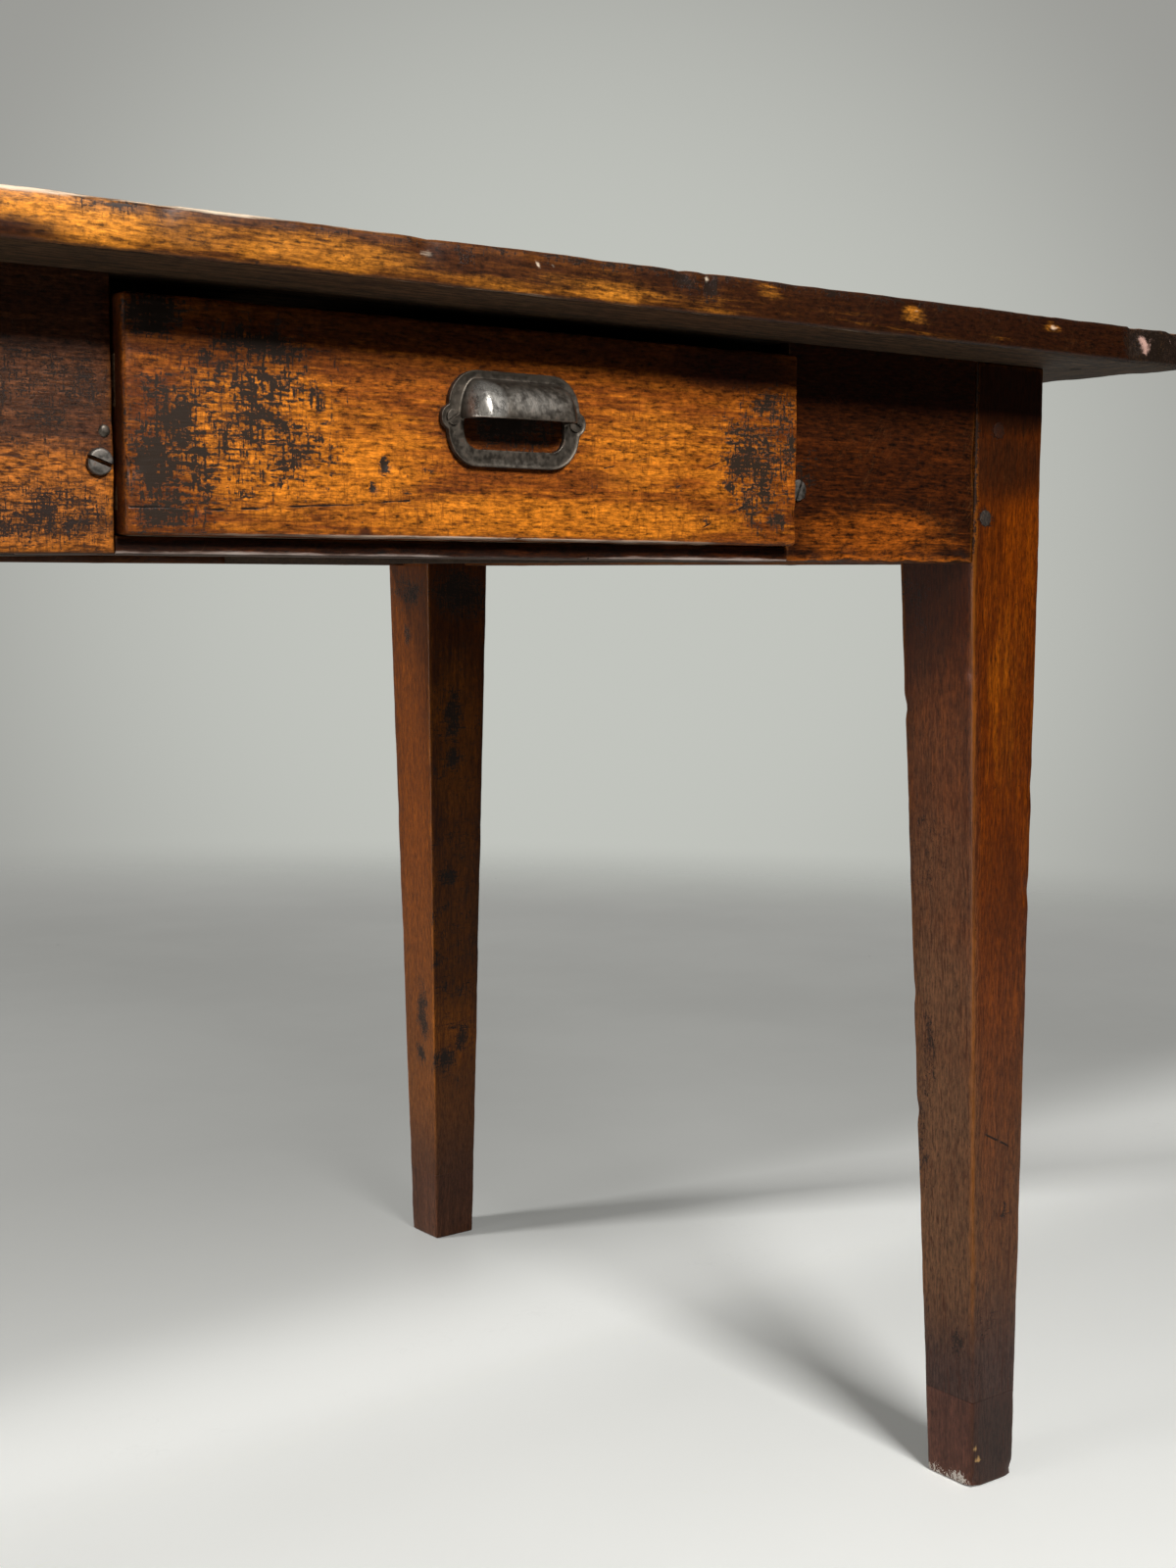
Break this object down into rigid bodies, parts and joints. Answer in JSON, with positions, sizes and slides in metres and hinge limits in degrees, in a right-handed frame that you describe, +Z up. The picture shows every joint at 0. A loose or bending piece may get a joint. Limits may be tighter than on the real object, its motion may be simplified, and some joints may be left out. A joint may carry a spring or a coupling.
{
  "type": "farmhouse table",
  "caption": "Long planked table on tapered legs, with breadboard ends, pegged aprons and a sliding drawer with an iron cup pull in its front.",
  "frame": {"origin": "on the floor under the middle of the table top", "axes": "+X along the table's length towards the drawer's end, +Y from the drawer front to the back, +Z up"},
  "size_m": [1.6, 0.8, 0.76],
  "materials": {
    "top_wood": "old waxed fruitwood, golden to red brown, worn at the arrises",
    "apron_wood": "old waxed fruitwood, dark brown with rubbed gold",
    "leg_wood": "old waxed fruitwood, red brown, dented",
    "tip_wood": "waxed red brown wood, smoother than the legs",
    "drawer_wood": "orange brown fruitwood with black worn residue",
    "inner_wood": "dry unfinished secondary timber",
    "peg_wood": "end grain of split pegs",
    "pull_iron": "dark handled iron, worn bright on the hood",
    "screw_steel": "aged slotted steel screws and nails"
  },
  "bodies": {
    "table": {"apron_nail": "screw_steel", "back_apron": "apron_wood", "back_apron_pegs": "peg_wood", "breadboard_end_left": "top_wood", "breadboard_end_right": "top_wood", "breadboard_pegs": "peg_wood", "button_screws": "screw_steel", "drawer_kicker_left": "inner_wood", "drawer_kicker_right": "inner_wood", "drawer_rail": "apron_wood", "drawer_runner_left": "inner_wood", "drawer_runner_right": "inner_wood", "drawer_stop_left": "inner_wood", "drawer_stop_right": "inner_wood", "end_apron_left": "apron_wood", "end_apron_pegs_left": "peg_wood", "end_apron_pegs_right": "peg_wood", "end_apron_right": "apron_wood", "front_apron_left": "apron_wood", "front_apron_pegs": "peg_wood", "front_apron_right": "apron_wood", "kicker_screws": "screw_steel", "leg_back_left": "leg_wood", "leg_back_right": "leg_wood", "leg_front_left": "leg_wood", "leg_front_right": "leg_wood", "leg_tip_back_left": "tip_wood", "leg_tip_back_right": "tip_wood", "leg_tip_dowels": "peg_wood", "leg_tip_front_left": "tip_wood", "leg_tip_front_right": "tip_wood", "rail_screws": "screw_steel", "runner_screws": "screw_steel", "top_buttons": "inner_wood", "top_plank_1": "top_wood", "top_plank_2": "top_wood", "top_plank_3": "top_wood", "top_plank_4": "top_wood"},
    "drawer": {"drawer_front": "drawer_wood", "drawer_side_left": "inner_wood", "drawer_side_right": "inner_wood", "drawer_back": "inner_wood", "drawer_bottom": "inner_wood", "drawer_bottom_nails": "screw_steel", "drawer_pull": "pull_iron", "pull_screws": "screw_steel"}
  },
  "joints": [
    {"name": "drawer_slide", "type": "slide", "parent": "table", "child": "drawer", "axis": [0, -1, 0], "range_m": [0, 0.38]}
  ]
}
